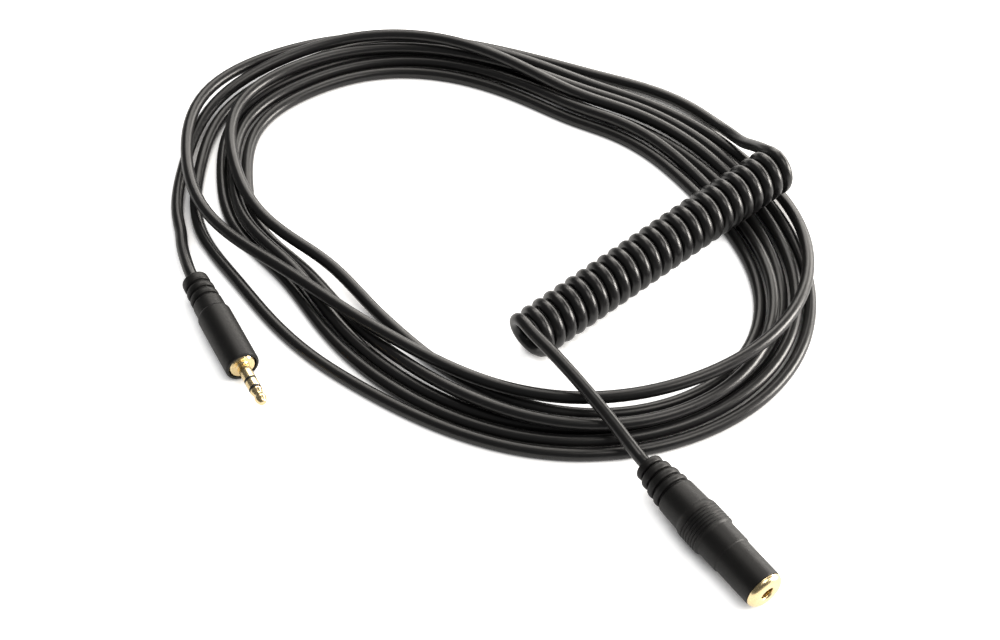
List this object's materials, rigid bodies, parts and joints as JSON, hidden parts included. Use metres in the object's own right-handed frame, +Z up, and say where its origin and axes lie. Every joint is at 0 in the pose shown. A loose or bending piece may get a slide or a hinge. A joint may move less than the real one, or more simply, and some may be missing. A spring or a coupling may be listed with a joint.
{
  "type": "audio extension cable",
  "caption": "Coiled stereo audio extension cable with a moulded mini-jack plug, a moulded in-line socket and a curly section that lies across the loose loops.",
  "frame": {"origin": "middle of the footprint of the whole cable, on the surface it lies on", "axes": "+Z up from the table; X to the right and Y away from the viewer of the picture; the curly section and the socket lie on the +X side"},
  "size_m": [0.1848, 0.212, 0.0189],
  "materials": {
    "cord_pvc": "satin, near-black extruded jacket",
    "overmould_pvc": "matt, near-black moulding",
    "gold_plate": "polished gold plate",
    "spring_brass": "bright rolled strip",
    "insulator_nylon": "satin black moulding",
    "inner_polythene": "natural, milky",
    "bare_copper": "twisted bare copper",
    "wire_red": "coloured insulation",
    "wire_white": "coloured insulation"
  },
  "bodies": {
    "cable": {"cord_loops": "cord_pvc", "curly_cord": "cord_pvc", "plug_lead": "cord_pvc", "socket_lead": "cord_pvc", "plug_overmould": "overmould_pvc", "plug_inner_mould": "inner_polythene", "plug_sleeve": "gold_plate", "plug_ring": "gold_plate", "plug_tip": "gold_plate", "plug_ring_insulator": "insulator_nylon", "plug_tip_insulator": "insulator_nylon", "plug_wire_ground": "bare_copper", "plug_wire_ring": "wire_red", "plug_wire_tip": "wire_white", "socket_overmould": "overmould_pvc", "socket_inner_mould": "inner_polythene", "socket_bush": "gold_plate", "socket_housing": "insulator_nylon", "socket_ring_tag": "spring_brass", "socket_tip_tag": "spring_brass", "socket_wire_ground": "bare_copper", "socket_wire_ring": "wire_red", "socket_wire_tip": "wire_white"},
    "ring_contact": {"socket_ring_leaf": "spring_brass"},
    "tip_contact": {"socket_tip_leaf": "spring_brass"}
  },
  "joints": [
    {"name": "ring_contact_flex", "type": "hinge", "parent": "cable", "child": "ring_contact", "pos_m": [0.05929, -0.09042, 0.00915], "axis": [-0.8141, -0.5807, 0], "range_deg": [0, 2.5], "stiffness_Nm_per_rad": 0.2},
    {"name": "tip_contact_flex", "type": "hinge", "parent": "cable", "child": "tip_contact", "pos_m": [0.05929, -0.09042, 0.00315], "axis": [0.8141, 0.5807, 0], "range_deg": [0, 4], "stiffness_Nm_per_rad": 0.2}
  ]
}
